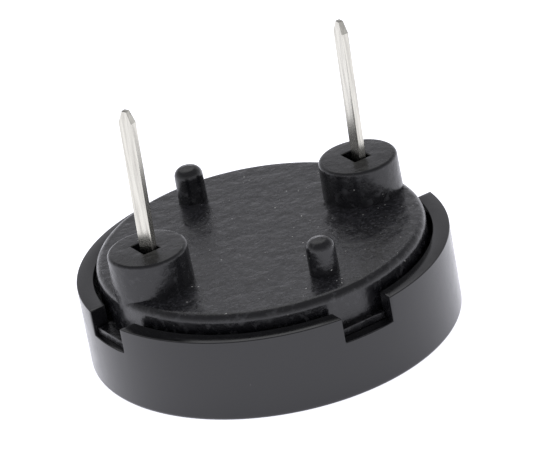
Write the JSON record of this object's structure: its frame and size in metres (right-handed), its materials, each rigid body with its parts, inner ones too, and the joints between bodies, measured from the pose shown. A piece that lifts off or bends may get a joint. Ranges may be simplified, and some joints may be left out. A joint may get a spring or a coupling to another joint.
{
  "type": "piezo buzzer",
  "caption": "Round black piezo buzzer for a circuit board: moulded cup with rim notches, inset base with slotted bosses and stand-off posts, flat pointed pin terminals.",
  "frame": {"origin": "centre of the sounding face, the flat face it rests on when its terminals point up", "axes": "+Z from the sounding face along the terminals, +X from the left terminal to the right one, +Y across them, from one stand-off post to the other"},
  "size_m": [0.024, 0.024, 0.0186],
  "materials": {
    "case_plastic": "glossy moulded black ABS, sides faintly rippled by the mould",
    "base_plastic": "moulded black ABS, top face sand textured, skirt and bosses satin",
    "terminal_tin": "stamped brass blade, bright tin plated",
    "plate_brass": "rolled brass sheet",
    "fired_ceramic": "fired piezo ceramic with a thin dull silver electrode",
    "silicone": "cured silicone bead",
    "red_insulation": "extruded PVC insulation",
    "black_insulation": "extruded PVC insulation",
    "solder": "tin solder, set dull"
  },
  "bodies": {
    "root": {"case": "case_plastic", "base": "base_plastic", "left_terminal": "terminal_tin", "right_terminal": "terminal_tin", "brass_plate": "plate_brass", "ceramic_disc": "fired_ceramic", "bond_bead": "silicone", "left_lead": "red_insulation", "right_lead": "black_insulation", "left_tail_solder": "solder", "right_tail_solder": "solder", "ceramic_solder": "solder", "brass_solder": "solder"}
  },
  "joints": []
}
